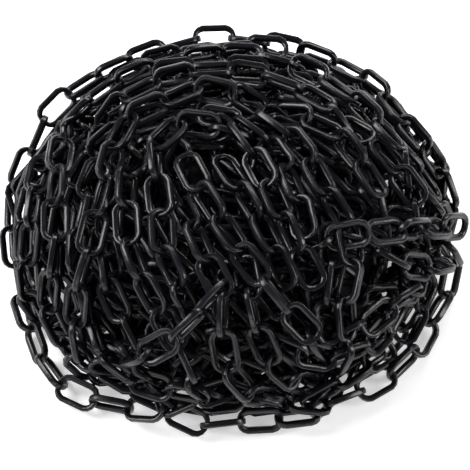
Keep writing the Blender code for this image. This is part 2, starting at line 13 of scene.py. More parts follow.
import bpy
import numpy as np
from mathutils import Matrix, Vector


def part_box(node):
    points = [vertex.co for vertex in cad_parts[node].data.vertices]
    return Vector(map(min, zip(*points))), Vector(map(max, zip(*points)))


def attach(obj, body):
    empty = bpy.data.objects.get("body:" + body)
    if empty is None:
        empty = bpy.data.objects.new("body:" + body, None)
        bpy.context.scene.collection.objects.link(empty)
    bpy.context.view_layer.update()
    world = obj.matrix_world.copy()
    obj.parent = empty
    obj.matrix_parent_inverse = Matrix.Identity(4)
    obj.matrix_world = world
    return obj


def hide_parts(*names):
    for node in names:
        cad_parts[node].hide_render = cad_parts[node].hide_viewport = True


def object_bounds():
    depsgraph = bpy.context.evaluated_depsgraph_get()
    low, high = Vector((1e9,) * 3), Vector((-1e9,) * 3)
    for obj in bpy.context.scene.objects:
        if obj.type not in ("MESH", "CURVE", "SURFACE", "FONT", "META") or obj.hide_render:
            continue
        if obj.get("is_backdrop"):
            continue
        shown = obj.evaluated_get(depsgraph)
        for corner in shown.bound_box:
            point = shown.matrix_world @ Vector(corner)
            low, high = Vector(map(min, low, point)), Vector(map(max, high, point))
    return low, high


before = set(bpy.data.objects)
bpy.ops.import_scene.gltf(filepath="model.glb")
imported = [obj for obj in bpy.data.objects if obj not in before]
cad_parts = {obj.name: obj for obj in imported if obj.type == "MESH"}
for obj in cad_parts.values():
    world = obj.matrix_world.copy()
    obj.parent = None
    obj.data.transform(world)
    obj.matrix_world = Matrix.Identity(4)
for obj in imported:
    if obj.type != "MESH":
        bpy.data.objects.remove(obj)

LOG = logging.getLogger("chain_heap")

# Sockets of the colour mix node, whose names repeat
MIX_FIRST, MIX_SECOND, MIX_RESULT = 6, 7, 2

# Runs of chain that the picture shows: layer, then picture coordinates along the run
PICTURE_RUNS = {
    "outline_run": (0, [
        (15, 182), (26, 155), (37, 125), (52, 97), (80, 82), (105, 64), (135, 54), (163, 43), (184, 36),
        (215, 32), (250, 37), (282, 43), (315, 54), (350, 73), (378, 94), (400, 125), (425, 152),
        (443, 178), (451, 208)]),
    "rear_run_outer": (0, [
        (62, 125), (85, 102), (112, 82), (142, 68), (175, 58), (210, 53), (245, 52), (280, 58), (312, 72),
        (340, 90), (362, 112), (388, 140), (405, 165)]),
    "rear_run_inner": (0, [
        (125, 102), (150, 88), (180, 78), (212, 73), (245, 73), (275, 80), (302, 90), (322, 102)]),
    "left_edge_run": (0, [
        (10, 195), (8, 228), (12, 258), (14, 290), (26, 328), (38, 362), (62, 393), (97, 404), (132, 408),
        (165, 408)]),
    "left_run_outer": (0, [(45, 158), (36, 195), (32, 230), (30, 262), (33, 296)]),
    "left_run": (0, [
        (66, 140), (60, 172), (57, 205), (57, 240), (52, 272), (48, 306), (58, 332), (74, 354), (96, 368)]),
    "crown_arch": (0, [
        (238, 98), (220, 91), (197, 88), (172, 103), (143, 106), (120, 133), (112, 168), (101, 205),
        (93, 240), (83, 272), (74, 305), (80, 340)]),
    "inner_arch": (0, [
        (220, 128), (190, 122), (165, 128), (155, 150), (158, 178), (163, 205), (160, 235), (166, 262),
        (182, 290)]),
    "centre_run_left": (0, [
        (182, 158), (197, 187), (217, 217), (235, 245), (257, 270), (277, 297), (298, 318), (312, 332)]),
    "centre_run_middle": (0, [
        (232, 126), (246, 144), (259, 164), (271, 190), (282, 218), (294, 247), (310, 278)]),
    "centre_run_right": (0, [
        (258, 112), (280, 124), (297, 145), (314, 168), (326, 195), (341, 217), (352, 243), (350, 272),
        (342, 300), (345, 330)]),
    "right_run_inner": (0, [(302, 120), (332, 130), (352, 152), (366, 178), (380, 198)]),
    "right_run_outer": (0, [(374, 140), (393, 165), (408, 190), (427, 212)]),
    "right_floor_run": (0, [
        (446, 246), (459, 270), (448, 300), (431, 328), (415, 358), (388, 380), (355, 396), (322, 408)]),
    "front_floor_run": (0, [
        (170, 414), (196, 428), (222, 440), (246, 426), (270, 424), (296, 434), (322, 420)]),
    "middle_left_run": (0, [
        (130, 168), (128, 200), (128, 232), (136, 262), (150, 292), (166, 320), (179, 347), (192, 376)]),
    "front_run_middle": (0, [
        (194, 222), (204, 248), (218, 274), (230, 300), (226, 327), (222, 352), (238, 378), (264, 400)]),
    "low_centre_run": (0, [(252, 292), (258, 322), (266, 352), (286, 378), (312, 390)]),
    "front_run_low": (0, [(205, 400), (172, 394), (140, 388), (112, 366)]),
    "front_run_right": (0, [(300, 356), (322, 362), (350, 360), (380, 343)]),
    "lower_left_run": (0, [(100, 285), (112, 312), (126, 340)]),
    "lower_crossing_run": (1, [(202, 316), (184, 338), (160, 350), (132, 366)]),
    "right_loose_run": (0, [(366, 326), (388, 307), (410, 290), (428, 284)]),
    "right_crossing_run": (0, [(374, 246), (396, 262), (420, 268), (440, 264)]),
    "right_spur": (1, [(374, 236), (408, 231), (460, 227)]),
}

# Runs round the hidden back: height of the run, then the azimuths where it starts and ends
BACK_RUNS = {
    "back_run_low": (0.012, 10, 168),
    "back_run_high": (0.050, 18, 160),
}


@dataclass(frozen=True)
class HeapForm:
    """Squarish dome that the runs of chain were laid on."""

    half: tuple = (0.180, 0.170, 0.138)
    centre: tuple = (0.0, 0.003, 0.0)
    squareness: float = 2.5
    slope_step: float = 1e-5
    newton_steps: int = 3

    def level(self, points: np.ndarray, lift: float = 0.0) -> np.ndarray:
        """Level against the dome: (plan ** s + rise ** s) ** (1 / s), plan and rise scaled by the half sizes.

        Args:
            points: Places whose last axis holds x, y and z.
            lift: Growth of all three half sizes.

        Returns:
            One level a point, 1 on the dome and less inside it.
        """
        scaled = np.abs(points - np.array(self.centre)) / (np.array(self.half) + lift)
        plan = np.hypot(scaled[..., 0], scaled[..., 1])
        return (plan ** self.squareness + scaled[..., 2] ** self.squareness) ** (1 / self.squareness)

    def slope(self, points: np.ndarray, lift: float = 0.0) -> np.ndarray:
        """Gradient of the level, by equal small steps both ways along each axis.

        Args:
            points: Places whose last axis holds x, y and z.
            lift: Growth of all three half sizes.

        Returns:
            One gradient vector a point.
        """
        parts = [self.level(points + axis, lift) - self.level(points - axis, lift)
                 for axis in np.eye(3) * self.slope_step]
        return np.stack(parts, axis=-1) / (2 * self.slope_step)

    def outward(self, points: np.ndarray) -> np.ndarray:
        """Unit vectors along the slope.

        Args:
            points: Places whose last axis holds x, y and z.

        Returns:
            One unit vector a point.
        """
        slope = self.slope(points)
        return slope / np.linalg.norm(slope, axis=-1, keepdims=True)

    def onto(self, points: np.ndarray, lift: float) -> np.ndarray:
        """Move points onto the lifted dome by Newton steps: p - slope * (level - 1) / slope squared.

        Args:
            points: Places near the dome.
            lift: Growth of all three half sizes.

        Returns:
            The moved places.
        """
        for _ in range(self.newton_steps):
            slope = self.slope(points, lift)
            steep = (slope ** 2).sum(axis=-1, keepdims=True)
            points = points - slope * (self.level(points, lift)[..., None] - 1) / steep
        return points

    def level_arc(self, height: float, lift: float, turns: np.ndarray) -> np.ndarray:
        """Points of a level arc round the lifted dome: its plan at a height, once for each angle.

        The plan shrinks by (1 - (height / c) ** s) ** (1 / s), with c the dome's own height.

        Args:
            height: Height of the arc.
            lift: Growth of all three half sizes.
            turns: Angles in radians.

        Returns:
            One point an angle.
        """
        half = np.array(self.half) + lift
        plan = (1 - (height / half[2]) ** self.squareness) ** (1 / self.squareness)
        across = half[0] * plan * np.cos(turns)
        back = self.centre[1] + half[1] * plan * np.sin(turns)
        return np.stack((across, back, np.full(len(turns), height)), axis=1)


@dataclass(frozen=True)
class Sight:
    """Line of sight of the picture, for reading routes and for placing the camera."""

    elevation: float = math.radians(58)
    distance: float = 1.5
    target: tuple = (0.0, 0.004, 0.018)
    picture_centre: float = 235.0
    pixels_per_metre: float = 1145.0
    picture_size: float = 470.0
    reach: float = 0.3
    steps: int = 3001
    sensor: float = 36.0
    camera_pixels_per_metre: float = 1150.0
    camera_clip: float = 20.0

    def axes(self) -> tuple:
        """Unit vectors that point ahead and up in the picture."""
        rise, run = math.sin(self.elevation), math.cos(self.elevation)
        return np.array((0.0, run, -rise)), np.array((0.0, rise, run))

    def eye(self) -> np.ndarray:
        """Place of the camera."""
        return np.array(self.target) - self.axes()[0] * self.distance

    def seen_point(self, form: HeapForm, across: float, down: float, lift: float, floor: float) -> np.ndarray:
        """Point of the lifted dome, or beside it, that a place in the picture shows.

        Args:
            form: The dome.
            across: Picture column in pixels.
            down: Picture row in pixels.
            lift: Growth of the dome.
            floor: Least height of the point.

        Returns:
            The first point inside the lifted dome, or else the point that comes nearest to it.
        """
        forward, upward = self.axes()
        scale = self.pixels_per_metre * self.distance
        ray = forward + upward * (self.picture_centre - down) / scale
        ray[0] += (across - self.picture_centre) / scale
        reach = np.linspace(self.distance - self.reach, self.distance + self.reach, self.steps)
        points = self.eye() + reach[:, None] * ray
        level = form.level(points, lift)
        above = points[:, 2] > floor
        inside = np.flatnonzero((level < 1) & above)
        if inside.size:
            return points[inside[0]]
        return points[int(np.argmin(np.where(above, level, np.inf)))]

    def add_camera(self, shift: np.ndarray) -> None:
        """Camera at the picture's viewing angle, which becomes the scene's own.

        Its focal length is the sensor's width times pixels per metre times distance over picture size.

        Args:
            shift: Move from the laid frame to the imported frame.
        """
        lens = bpy.data.cameras.new("photo_camera")
        lens.sensor_width = self.sensor
        lens.lens = self.sensor * self.camera_pixels_per_metre * self.distance / self.picture_size
        lens.clip_end = self.camera_clip
        camera = add_object("photo_camera", lens)
        camera.location = self.eye() + shift
        camera.rotation_euler = (math.pi / 2 - self.elevation, 0, 0)
        bpy.context.scene.camera = camera


def add_object(name: str, data: bpy.types.ID) -> bpy.types.Object:
    """New object, linked into the scene.

    Args:
        name: Its name.
        data: Its mesh, lamp or camera data.

    Returns:
        The object, at the origin, unturned and unscaled.
    """
    made = bpy.data.objects.new(name, data)
    bpy.context.scene.collection.objects.link(made)
    return made


class BarSection(Enum):
    """Section of a bar: each corner's place outward and upward in half sizes, then its normal if seen."""

    SQUARE = ((1, 1), (-1, 1), (-1, -1), (1, -1))
    WEDGE = ((1, 0), (-1, 1), (-1, -1))
    BEVELLED = ((1, 0.50, 1, 0.12), (0.60, 1, 0.15, 1), (-1, 0.75, -0.7, 0.7),
                (-1, -0.75, -0.7, -0.7), (0.60, -1, 0.15, -1), (1, -0.50, 1, -0.12))


@dataclass(frozen=True)
class LinkSolid:
    """One link as the frame's solids have it, which is what the settling works with."""

    length: float = 0.0380
    width: float = 0.0240
    side_bar: float = 0.0056
    end_bar: float = 0.0043
    thickness: float = 0.0052
    overlap: float = 0.0014
    corners: int = 8

    def joint_half(self) -> float:
        """Distance from the centre to the point where the next link bears."""
        return self.length / 2 - self.end_bar + self.overlap / 2

    def octagon(self) -> tuple:
        """Half width and stretch of the bar's middle line, and the angles of its corners."""
        half_width = (self.width - self.side_bar) / 2
        stretch = (self.length - self.end_bar) / 2 - half_width
        return half_width, stretch, (np.arange(self.corners) + 0.5) * 2 * math.pi / self.corners

    def box(self, centres: np.ndarray, axes: np.ndarray, section: BarSection) -> np.ndarray:
        """Lowest and highest x, y and z of solid links.

        A corner lies at cos(t) * (r + out * end) + stretch and sin(t) * (r + out * side), with t at the
        eighths of a turn, and out and up from the section's corners.

        Args:
            centres: Centre of each link.
            axes: Axes of each link, as columns.
            section: Section of the bar.

        Returns:
            Two rows, the lowest and the highest coordinates.
        """
        half_width, stretch, turn = self.octagon()
        turn = turn[:, None]
        mitre = 1 / math.cos(math.pi / self.corners)
        out, up = np.array(section.value, float).T[:, None, :]
        length = np.cos(turn) * (half_width + out * self.end_bar / 2) * mitre
        length += stretch * np.sign(np.cos(turn))
        width = np.sin(turn) * (half_width + out * self.side_bar / 2) * mitre
        corner = np.stack((length, width, np.broadcast_to(up * self.thickness / 2, width.shape)), axis=-1)
        places = np.einsum("nij,kj->nki", axes, corner.reshape(-1, 3)) + centres[:, None]
        return np.array((places.min(axis=(0, 1)), places.max(axis=(0, 1))))

    def samples(self, count: int) -> tuple:
        """Points evenly along the middle of the bar, a stretched octagon, and the way outward there.

        Args:
            count: Number of points.

        Returns:
            Points and directions, both count by 3.
        """
        half_width, stretch, turn = self.octagon()
        radius = half_width / math.cos(math.pi / self.corners)
        lengthwise = radius * np.cos(turn) + stretch * np.sign(np.cos(turn))
        ring = np.stack((lengthwise, radius * np.sin(turn)), axis=1)
        path = np.vstack((ring, ring[:1]))
        edges = np.diff(path, axis=0)
        lengths = np.linalg.norm(edges, axis=1)
        along = np.concatenate(([0.0], np.cumsum(lengths)))
        places = (np.arange(count) + 0.5) * along[-1] / count
        edge = np.searchsorted(along, places) - 1
        points = path[edge] + edges[edge] * ((places - along[edge]) / lengths[edge])[:, None]
        out = np.stack((edges[edge, 1], -edges[edge, 0]), axis=1) / lengths[edge][:, None]
        level = np.zeros(count)
        return np.column_stack((points, level)), np.column_stack((out, level))


@dataclass
class Laying:
    """Turns routes into links, each rolled to the other side of the last."""

    form: HeapForm
    link: LinkSolid
    roll: float = math.radians(38)
    wander: float = math.radians(10)
    drift: float = math.radians(36)
    drift_step: float = 0.55
    curve_points: int = 1500
    smooth_points: int = 121
    centres: list = field(default_factory=list)
    axes: list = field(default_factory=list)
    runs: list = field(default_factory=list)

    def joints(self, route: list | np.ndarray) -> np.ndarray:
        """Joint points one link apart on a route smoothed by a raised-cosine window.

        Args:
            route: Points along the route.

        Returns:
            Joint points, one more than there are links.
        """
        route = np.array(route)
        pitch = 2 * self.link.joint_half()
        ahead = route[-1] - route[-2]
        route[-1] += ahead * pitch / 2 / np.linalg.norm(ahead)
        spacing = np.linalg.norm(np.diff(route, axis=0), axis=1)
        along = np.concatenate(([0.0], np.cumsum(spacing)))
        fine = np.linspace(0, along[-1], self.curve_points)
        curve = np.stack([np.interp(fine, along, route[:, axis]) for axis in range(3)], axis=1)
        window = np.hanning(self.smooth_points)
        margin = self.smooth_points // 2
        padded = np.pad(curve, ((margin, margin), (0, 0)), mode="edge")
        window /= window.sum()
        curve = np.stack([np.convolve(padded[:, axis], window, "valid") for axis in range(3)], axis=1)
        joints = [curve[0]]
        for point in curve:
            if np.linalg.norm(point - joints[-1]) >= pitch:
                step = point - joints[-1]
                joints.append(joints[-1] + step * pitch / np.linalg.norm(step))
        return np.array(joints)

    def lay(self, run: int, joints: np.ndarray) -> None:
        """Lay a link between each two joints.

        The roll is the base roll to alternate sides, plus a random part and a slow sine along the run.

        Args:
            run: Number of the run, which also seeds its small differences of roll.
            joints: Joint points along the run.
        """
        rng = np.random.default_rng(run)
        phase = rng.uniform(0, 2 * math.pi)
        for number in range(len(joints) - 1):
            along = joints[number + 1] - joints[number]
            along = along / np.linalg.norm(along)
            centre = (joints[number] + joints[number + 1]) / 2
            out = self.form.slope(centre)
            out = out - along * (out @ along)
            out = out / np.linalg.norm(out)
            aside = np.cross(out, along)
            roll = self.roll * (1 if number % 2 else -1) + self.wander * rng.uniform(-1, 1)
            roll += self.drift * math.sin(phase + number * self.drift_step)
            wide = aside * math.cos(roll) + out * math.sin(roll)
            self.centres.append(centre)
            self.axes.append(np.stack((along, wide, np.cross(along, wide)), axis=1))
            self.runs.append(run)

    def arrays(self) -> tuple:
        """Centres, axes and run numbers of all links laid so far."""
        return np.array(self.centres), np.array(self.axes), np.array(self.runs)


@dataclass(frozen=True)
class Easing:
    """How a settling is run: side of the dome, clearance between bars, pulls and numbers of rounds."""

    side: int = 1
    clearance: float = 0.0040
    bar_points: int = 32
    rounds: int = 440
    pressed_rounds: int = 240
    press: float = 0.00005
    hold: float = 0.010
    turn_hold: float = 0.20
    loose_turn_hold: float = 0.05
    support_lift: float = 0.0
    seat_gap: float = 0.0004
    floor_gap: float = 0.0008
    touch_weight: float = 8.0
    joint_weight: float = 40.0
    pairing_rounds: int = 4
    least_gap: float = 1e-9


class Settling:
    """Rigid links that are eased apart in rounds until their bars clear all that is near."""

    def __init__(self, form: HeapForm, link: LinkSolid, easing: Easing, centres: np.ndarray,
                 axes: np.ndarray, runs: np.ndarray, fixed: np.ndarray | None = None) -> None:
        """Keep where each link was laid, which links are joined and which ones stay.

        Args:
            form: The dome that carries the links.
            link: The link's sizes.
            easing: How the settling is run.
            centres: Centre of each link.
            axes: Axes of each link, as columns.
            runs: Number of the run that each link belongs to.
            fixed: True for each link that stays where it is; none of them if it is left out.
        """
        fixed = np.zeros(len(runs), bool) if fixed is None else fixed
        ring, self.ring_out = link.samples(easing.bar_points)
        ends = np.array(((-link.joint_half(), 0, 0), (link.joint_half(), 0, 0)))
        self.form, self.link, self.easing = form, link, easing
        self.body = np.vstack((ring, ends))
        self.centres, self.axes = centres, axes
        self.aims, self.aim_axes = centres.copy(), axes.copy()
        order = np.arange(len(centres))
        beside = np.abs(np.subtract.outer(order, order)) == 1
        self.unjoined = ~(beside & (runs[:, None] == runs[None, :]))
        self.unjoined &= ~(fixed[:, None] & fixed[None, :])
        self.follows = np.flatnonzero(runs[1:] == runs[:-1])
        self.fixed = fixed
        self.pairs = ()
        self.moves = self.touches = np.zeros(0)

    def find_pairs(self) -> None:
        """List the pairs of unjoined links that are close enough to touch."""
        gap = np.linalg.norm(self.centres[:, None] - self.centres[None], axis=2)
        near = (gap < self.link.length + 2 * self.easing.clearance) & self.unjoined
        self.pairs = np.nonzero(np.triu(near, 1))

    def part_bars(self, bars: np.ndarray) -> None:
        """Push points of two bars apart by half the shortfall each, or all of it from a link that stays.

        Args:
            bars: Bar points of all links.
        """
        first, second = self.pairs
        one_bar, other_bar = bars[first], bars[second]
        squares = ((one_bar ** 2).sum(axis=2)[:, :, None] + (other_bar ** 2).sum(axis=2)[:, None, :]
                   - 2 * one_bar @ other_bar.transpose(0, 2, 1))
        apart = 2 * self.easing.clearance
        pair, one, two = np.nonzero(squares < apart ** 2)
        line = one_bar[pair, one] - other_bar[pair, two]
        found = np.linalg.norm(line, axis=1)
        push = line * ((apart - found) / (2 * found + self.easing.least_gap))[:, None]
        first, second = first[pair], second[pair]
        np.add.at(self.moves, (first, one), push * (1 + self.fixed[second])[:, None])
        np.add.at(self.moves, (second, two), -push * (1 + self.fixed[first])[:, None])
        np.add.at(self.touches, (first, one), 1)
        np.add.at(self.touches, (second, two), 1)

    def lift_bars(self, bars: np.ndarray) -> None:
        """Push points to their side of the support and off the floor by what the bar's section needs there.

        The need is (side bar * |n . out| + thickness * |n . up|) / 2, with n the support's normal.

        Args:
            bars: Bar points of all links.
        """
        link, easing = self.link, self.easing
        wide = np.einsum("nij,kj->nki", self.axes, self.ring_out)
        slope = self.form.slope(bars, easing.support_lift)
        steep = np.linalg.norm(slope, axis=2)
        slope /= steep[..., None]
        reach_in = (np.abs((slope * wide).sum(axis=2)) * link.side_bar
                    + np.abs(np.einsum("nki,ni->nk", slope, self.axes[:, :, 2])) * link.thickness) / 2
        rise = (self.form.level(bars, easing.support_lift) - 1) / steep
        short = reach_in + easing.seat_gap - easing.side * rise
        buried = short > 0
        self.moves[:, :-2][buried] += easing.side * (slope * short[..., None])[buried]
        self.touches[:, :-2][buried] += 1
        reach_down = (np.abs(wide[..., 2]) * link.side_bar
                      + np.abs(self.axes[:, None, 2, 2]) * link.thickness) / 2
        low = reach_down + easing.floor_gap - bars[..., 2]
        self.moves[:, :-2, 2][low > 0] += low[low > 0]
        self.touches[:, :-2][low > 0] += 1

    def place_links(self, wanted: np.ndarray, weights: np.ndarray) -> None:
        """Put each link that may move where the rigid shape fits its moved points best.

        The fit is the rotation from the singular vectors of the weighted spread of points.

        Args:
            wanted: Moved points of all links.
            weights: Weight of each point.
        """
        total = weights.sum(axis=1)
        body_middle = np.einsum("nk,kj->nj", weights, self.body) / total[:, None]
        middle = np.einsum("nk,nkj->nj", weights, wanted) / total[:, None]
        spread = np.einsum("nk,nki,nkj->nij", weights, wanted - middle[:, None],
                           self.body[None] - body_middle[:, None])
        left, _, right = np.linalg.svd(spread)
        left[:, :, 2] *= np.sign(np.linalg.det(left @ right))[:, None]
        axes = left @ right
        centres = middle - np.einsum("nij,nj->ni", axes, body_middle)
        self.axes = np.where(self.fixed[:, None, None], self.axes, axes)
        self.centres = np.where(self.fixed[:, None], self.centres, centres)

    def pull_home(self) -> np.ndarray:
        """Pull on each centre towards where it was laid and towards the dome."""
        outward = self.form.outward(self.centres)
        return (self.aims - self.centres) * self.easing.hold - self.easing.side * self.easing.press * outward

    def ease(self, pressed: bool) -> None:
        """Run one round: push bars apart, draw joints together by half their gap, and fit the links.

        Args:
            pressed: True while the links are also pulled home.
        """
        easing = self.easing
        places = self.centres[:, None, :] + np.einsum("nij,kj->nki", self.axes, self.body)
        self.moves = np.zeros_like(places)
        self.touches = np.zeros(places.shape[:2])
        self.part_bars(places[:, :-2])
        self.lift_bars(places[:, :-2])
        moves = self.moves / np.maximum(self.touches, 1)[..., None]
        weights = np.where(self.touches > 0, easing.touch_weight, 1.0)
        weights[:, -2:] = easing.joint_weight
        drawn = (places[self.follows + 1, -2] - places[self.follows, -1]) / 2
        moves[self.follows, -1] += drawn * (1 + self.fixed[self.follows + 1])[:, None]
        moves[self.follows + 1, -2] -= drawn * (1 + self.fixed[self.follows])[:, None]
        if pressed:
            moves += self.pull_home()[:, None, :]
        turn_hold = easing.turn_hold if pressed else easing.loose_turn_hold
        moves += np.einsum("nij,kj->nki", self.aim_axes - self.axes, self.body) * turn_hold
        self.place_links(places + moves, weights)

    def settle(self) -> None:
        """Run all rounds, the first of them pressed."""
        for number in range(self.easing.rounds):
            if number % self.easing.pairing_rounds == 0:
                self.find_pairs()
            self.ease(number < self.easing.pressed_rounds)


@dataclass(frozen=True)
class MouldedLink:
    """The link as it is seen: a long oval ring of bevelled bar, thinner round its ends."""

    length: float = 0.0380
    width: float = 0.0240
    side_bar: float = 0.0051
    end_bar: float = 0.0038
    thickness: float = 0.0054
    path_points: int = 12
    roundness: float = 2.3
    section: BarSection = BarSection.BEVELLED

    def path(self) -> tuple:
        """Middle line of the bar and its outward mitre.

        In each quarter x = stretch + r * cos(a) ** (2 / k) and y = r * sin(a) ** (2 / k), scaled so that
        the corners reach the true half sizes. The mitre is the sum of the two edges' normals over
        one plus their cosine, so that offset edges stay parallel.

        Returns:
            Corner points and mitres, both as rows of x and y.
        """
        turn = (np.arange(self.path_points) + 0.5) * 2 * math.pi / self.path_points
        power = 2 / self.roundness
        bend = np.stack((np.abs(np.cos(turn)), np.abs(np.sin(turn))), axis=1) ** power
        bend /= bend.max(axis=0)
        radius = (self.width - self.side_bar) / 2
        stretch = (self.length - self.end_bar) / 2 - radius
        side = np.sign(np.stack((np.cos(turn), np.sin(turn)), axis=1))
        points = side * (bend * radius + np.array((stretch, 0.0)))
        edge = np.roll(points, -1, axis=0) - points
        edge /= np.linalg.norm(edge, axis=1)[:, None]
        normal = np.stack((edge[:, 1], -edge[:, 0]), axis=1)
        before = np.roll(normal, 1, axis=0)
        mitre = (normal + before) / (1 + (normal * before).sum(axis=1))[:, None]
        return points, mitre

    def surface(self) -> tuple:
        """Vertices, normals, faces and unwrapped corners of one link.

        A vertex is the path point plus the mitre times half the bar times the section's outward part, raised
        by half the thickness times its upward part. Half the bar runs from side to end with the square
        of the mitre's lengthwise share.

        Returns:
            Vertices, unit normals, quads and one (along, round) pair for each quad corner.
        """
        points, mitre = self.path()
        corners, leans = np.array(self.section.value, float).reshape(-1, 2, 2).transpose(1, 0, 2)
        share = (mitre[:, 0] / np.linalg.norm(mitre, axis=1)) ** 2
        half = (self.side_bar * (1 - share) + self.end_bar * share) / 2
        rows, cols = len(points), len(corners)
        flat = points[:, None, :] + mitre[:, None, :] * half[:, None, None] * corners[None, :, :1]
        up = np.broadcast_to(corners[None, :, 1:] * self.thickness / 2, (rows, cols, 1))
        vertices = np.concatenate((flat, up), axis=2).reshape(-1, 3)
        unit = mitre / np.linalg.norm(mitre, axis=1)[:, None]
        rise = np.broadcast_to(leans[None, :, 1:], (rows, cols, 1))
        normals = np.concatenate((unit[:, None, :] * leans[None, :, :1], rise), axis=2).reshape(-1, 3)
        normals /= np.linalg.norm(normals, axis=1)[:, None]
        i, j = np.meshgrid(np.arange(rows), np.arange(cols), indexing="ij")
        steps = ((0, 0), (1, 0), (1, 1), (0, 1))
        quads = np.stack([(i + di) % rows * cols + (j + dj) % cols for di, dj in steps], axis=-1)
        wrap = np.stack([np.stack(((i + di) / rows, (j + dj) / cols), axis=-1) for di, dj in steps], axis=2)
        return vertices, normals, quads.reshape(-1, 4), wrap.reshape(-1, 4, 2)


@dataclass(frozen=True)
class BlackPolyethylene:
    """Moulded black polyethylene: satin gloss, faint waviness, fine grain and slight scuffs."""

    name: str = "satin_black_polyethylene"
    deep: tuple = (0.0030, 0.0028, 0.0046, 1.0)
    worn: tuple = (0.0070, 0.0066, 0.0100, 1.0)
    roughness: tuple = (0.16, 0.34)
    specular: float = 0.38
    cloud_noise: tuple = (70, 3)
    wave_noise: tuple = (160, 1)
    grain_noise: tuple = (2400, 2)
    wave_height: float = 0.00025
    grain_height: float = 0.00004
    cloud_share: float = 0.55
    tone_share: float = 0.45

    def build(self) -> bpy.types.Material:
        """Material whose colour and roughness vary with each link and with noise on Object coordinates.

        Returns:
            The material.
        """
        material = bpy.data.materials.new(self.name)
        material.use_nodes = True
        nodes, links = material.node_tree.nodes, material.node_tree.links
        shader = nodes["Principled BSDF"]
        shader.inputs["Specular IOR Level"].default_value = self.specular
        place = nodes.new("ShaderNodeTexCoord")
        tone = nodes.new("ShaderNodeAttribute")
        tone.attribute_name = "link_tone"

        def noise(scale: float, detail: float) -> bpy.types.NodeSocket:
            """Noise of one scale on Object coordinates."""
            node = nodes.new("ShaderNodeTexNoise")
            node.inputs["Scale"].default_value = scale
            node.inputs["Detail"].default_value = detail
            links.new(place.outputs["Object"], node.inputs["Vector"])
            return node.outputs["Fac"]

        def arithmetic(operation: str, source: bpy.types.NodeSocket, factor: float) -> bpy.types.Node:
            """Arithmetic on a source and a factor."""
            node = nodes.new("ShaderNodeMath")
            node.operation = operation
            node.inputs[1].default_value = factor
            links.new(source, node.inputs[0])
            return node

        def bump(height: bpy.types.NodeSocket, distance: float) -> bpy.types.Node:
            """Bump of one depth."""
            node = nodes.new("ShaderNodeBump")
            node.inputs["Distance"].default_value = distance
            links.new(height, node.inputs["Height"])
            return node

        cloud, wave, grain = noise(*self.cloud_noise), noise(*self.wave_noise), noise(*self.grain_noise)
        blend = arithmetic("MULTIPLY_ADD", cloud, self.cloud_share)
        share = arithmetic("MULTIPLY", tone.outputs["Fac"], self.tone_share)
        links.new(share.outputs[0], blend.inputs[2])
        colour = nodes.new("ShaderNodeMix")
        colour.data_type = "RGBA"
        colour.inputs[MIX_FIRST].default_value = self.deep
        colour.inputs[MIX_SECOND].default_value = self.worn
        links.new(blend.outputs[0], colour.inputs[0])
        links.new(colour.outputs[MIX_RESULT], shader.inputs["Base Color"])
        gloss = nodes.new("ShaderNodeMapRange")
        gloss.inputs["To Min"].default_value = self.roughness[0]
        gloss.inputs["To Max"].default_value = self.roughness[1]
        links.new(blend.outputs[0], gloss.inputs["Value"])
        links.new(gloss.outputs["Result"], shader.inputs["Roughness"])
        rough, swell = bump(grain, self.grain_height), bump(wave, self.wave_height)
        links.new(rough.outputs["Normal"], swell.inputs["Normal"])
        links.new(swell.outputs["Normal"], shader.inputs["Normal"])
        material.diffuse_color = self.worn
        return material


SATIN_BLACK = BlackPolyethylene()
DULL_BLACK = BlackPolyethylene("deep_black_polyethylene", roughness=(0.5, 0.7))


@dataclass(frozen=True)
class ChainDressing:
    """How chain is shown: the link's shape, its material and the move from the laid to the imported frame."""

    shape: MouldedLink
    finish: bpy.types.Material
    shift: np.ndarray

    def add_piece(self, name: str, centres: np.ndarray, axes: np.ndarray) -> bpy.types.Object:
        """One mesh of many links: vertex = centre + axes times the link's own vertex.

        A random tone for each link, kept as link_tone, lets the material vary from link to link.

        Args:
            name: Name of the piece.
            centres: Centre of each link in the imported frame.
            axes: Axes of each link, as columns.

        Returns:
            The piece, which rides on the root body.
        """
        base, leans, quads, wrap = self.shape.surface()
        count = len(centres)
        vertices = (np.einsum("nij,kj->nki", axes, base) + centres[:, None]).reshape(-1, 3)
        normals = np.einsum("nij,kj->nki", axes, leans).reshape(-1, 3)
        faces = (quads[None] + np.arange(count)[:, None, None] * len(base)).reshape(-1, 4)
        mesh = bpy.data.meshes.new(name)
        mesh.from_pydata(vertices, [], faces.tolist())
        mesh.polygons.foreach_set("use_smooth", np.ones(len(faces), bool))
        sheet = mesh.uv_layers.new(name="bar_wrap")
        sheet.data.foreach_set("uv", np.broadcast_to(wrap[None], (count, *wrap.shape)).ravel())
        tone = mesh.attributes.new("link_tone", "FLOAT", "POINT")
        rng = np.random.default_rng(count)
        tone.data.foreach_set("value", np.repeat(rng.random(count), len(base)))
        mesh.normals_split_custom_set_from_vertices(normals)
        mesh.materials.append(self.finish)
        piece = add_object(name, mesh)
        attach(piece, "root")
        LOG.info("%s: %d links, %d faces", name, count, len(faces))
        return piece


